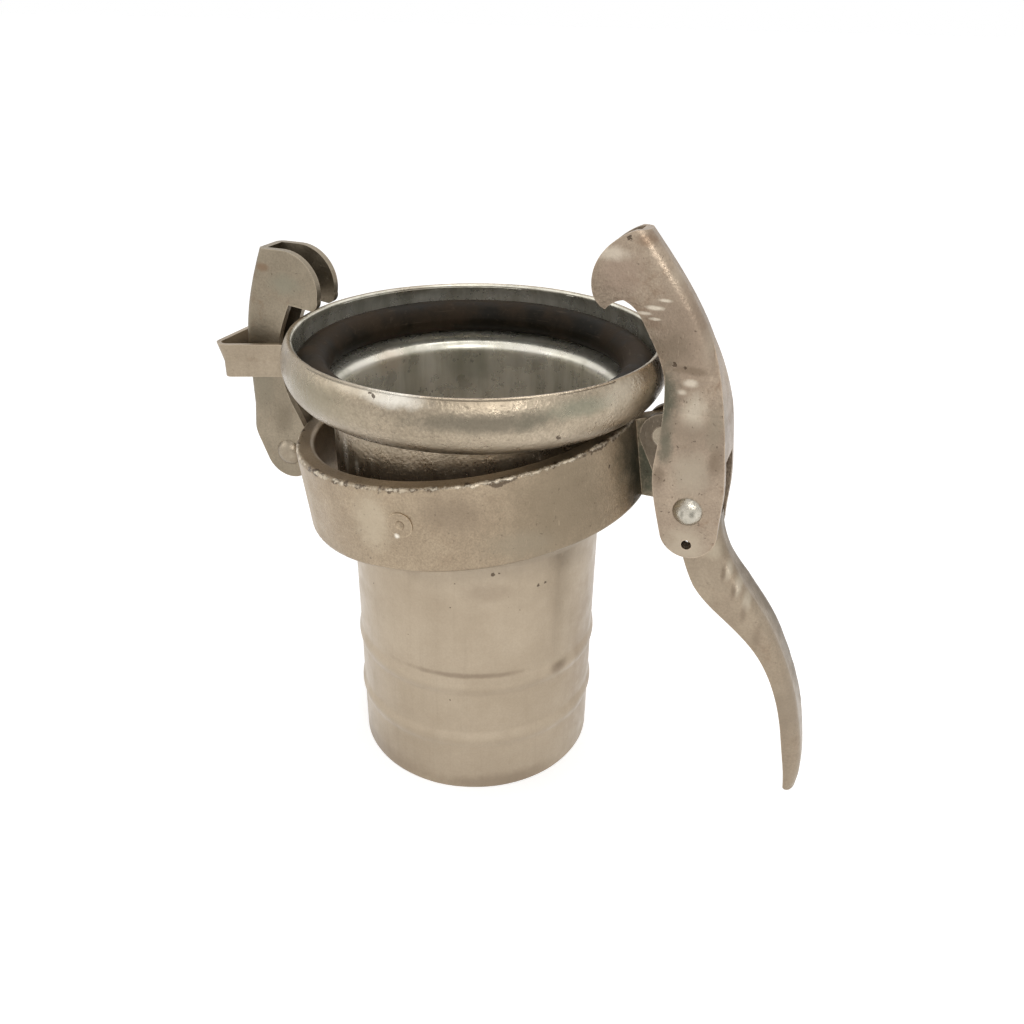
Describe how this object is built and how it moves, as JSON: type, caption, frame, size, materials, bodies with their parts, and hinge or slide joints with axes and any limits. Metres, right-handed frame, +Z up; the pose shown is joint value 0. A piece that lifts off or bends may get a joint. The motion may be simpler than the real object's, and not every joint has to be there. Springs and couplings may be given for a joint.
{
  "type": "irrigation pipe coupling",
  "caption": "Lever-ring quick pipe coupling, female half: pressed cup with seal ring, loose closing ring with side hook, toggle lever and catch hook, beaded hose tail.",
  "frame": {"origin": "centre of the hose tail's cut end, on which the coupling stands", "axes": "+Z up the pipe axis to the cup's rim, +X towards the toggle lever"},
  "size_m": [0.2589, 0.151, 0.2347],
  "materials": {
    "galvanised_steel": "worn galvanised",
    "pressed_hooks": "dull galvanised pressing",
    "cast_ring": "galvanised casting",
    "bright_rivets": "bright zinc",
    "seal_rubber": "dull black rubber"
  },
  "bodies": {
    "body": {"cup": "galvanised_steel", "hose_tail": "galvanised_steel", "guide_bracket": "galvanised_steel", "seal_ring": "seal_rubber"},
    "ring": {"closing_ring": "cast_ring", "side_hook_rivet": "bright_rivets", "lever_pivot_pin": "bright_rivets"},
    "side_hook": {"side_hook": "pressed_hooks"},
    "lever": {"lever": "pressed_hooks", "catch_rivet": "bright_rivets"},
    "catch_hook": {"catch_hook": "pressed_hooks"}
  },
  "joints": [
    {"name": "ring_rock", "type": "hinge", "parent": "body", "child": "ring", "pos_m": [0.0585, 0.0135, 0.1655], "axis": [-0.225, 0.9744, 0], "range_deg": [0, 5.5]},
    {"name": "side_hook_swing", "type": "hinge", "parent": "ring", "child": "side_hook", "pos_m": [-0.0869, 0, 0.1253], "axis": [0, -1, 0], "range_deg": [-1.5, 0.8]},
    {"name": "lever_swing", "type": "hinge", "parent": "ring", "child": "lever", "pos_m": [0.0785, 0, 0.1605], "axis": [0, -1, 0], "range_deg": [0, 85]},
    {"name": "catch_hook_swing", "type": "hinge", "parent": "lever", "child": "catch_hook", "pos_m": [0.0912, 0, 0.133], "axis": [0, -1, 0], "range_deg": [-95, 0]}
  ],
  "couplings": [
    {"joint": "catch_hook_swing", "follows": "lever_swing", "ratio": -1.1176}
  ]
}
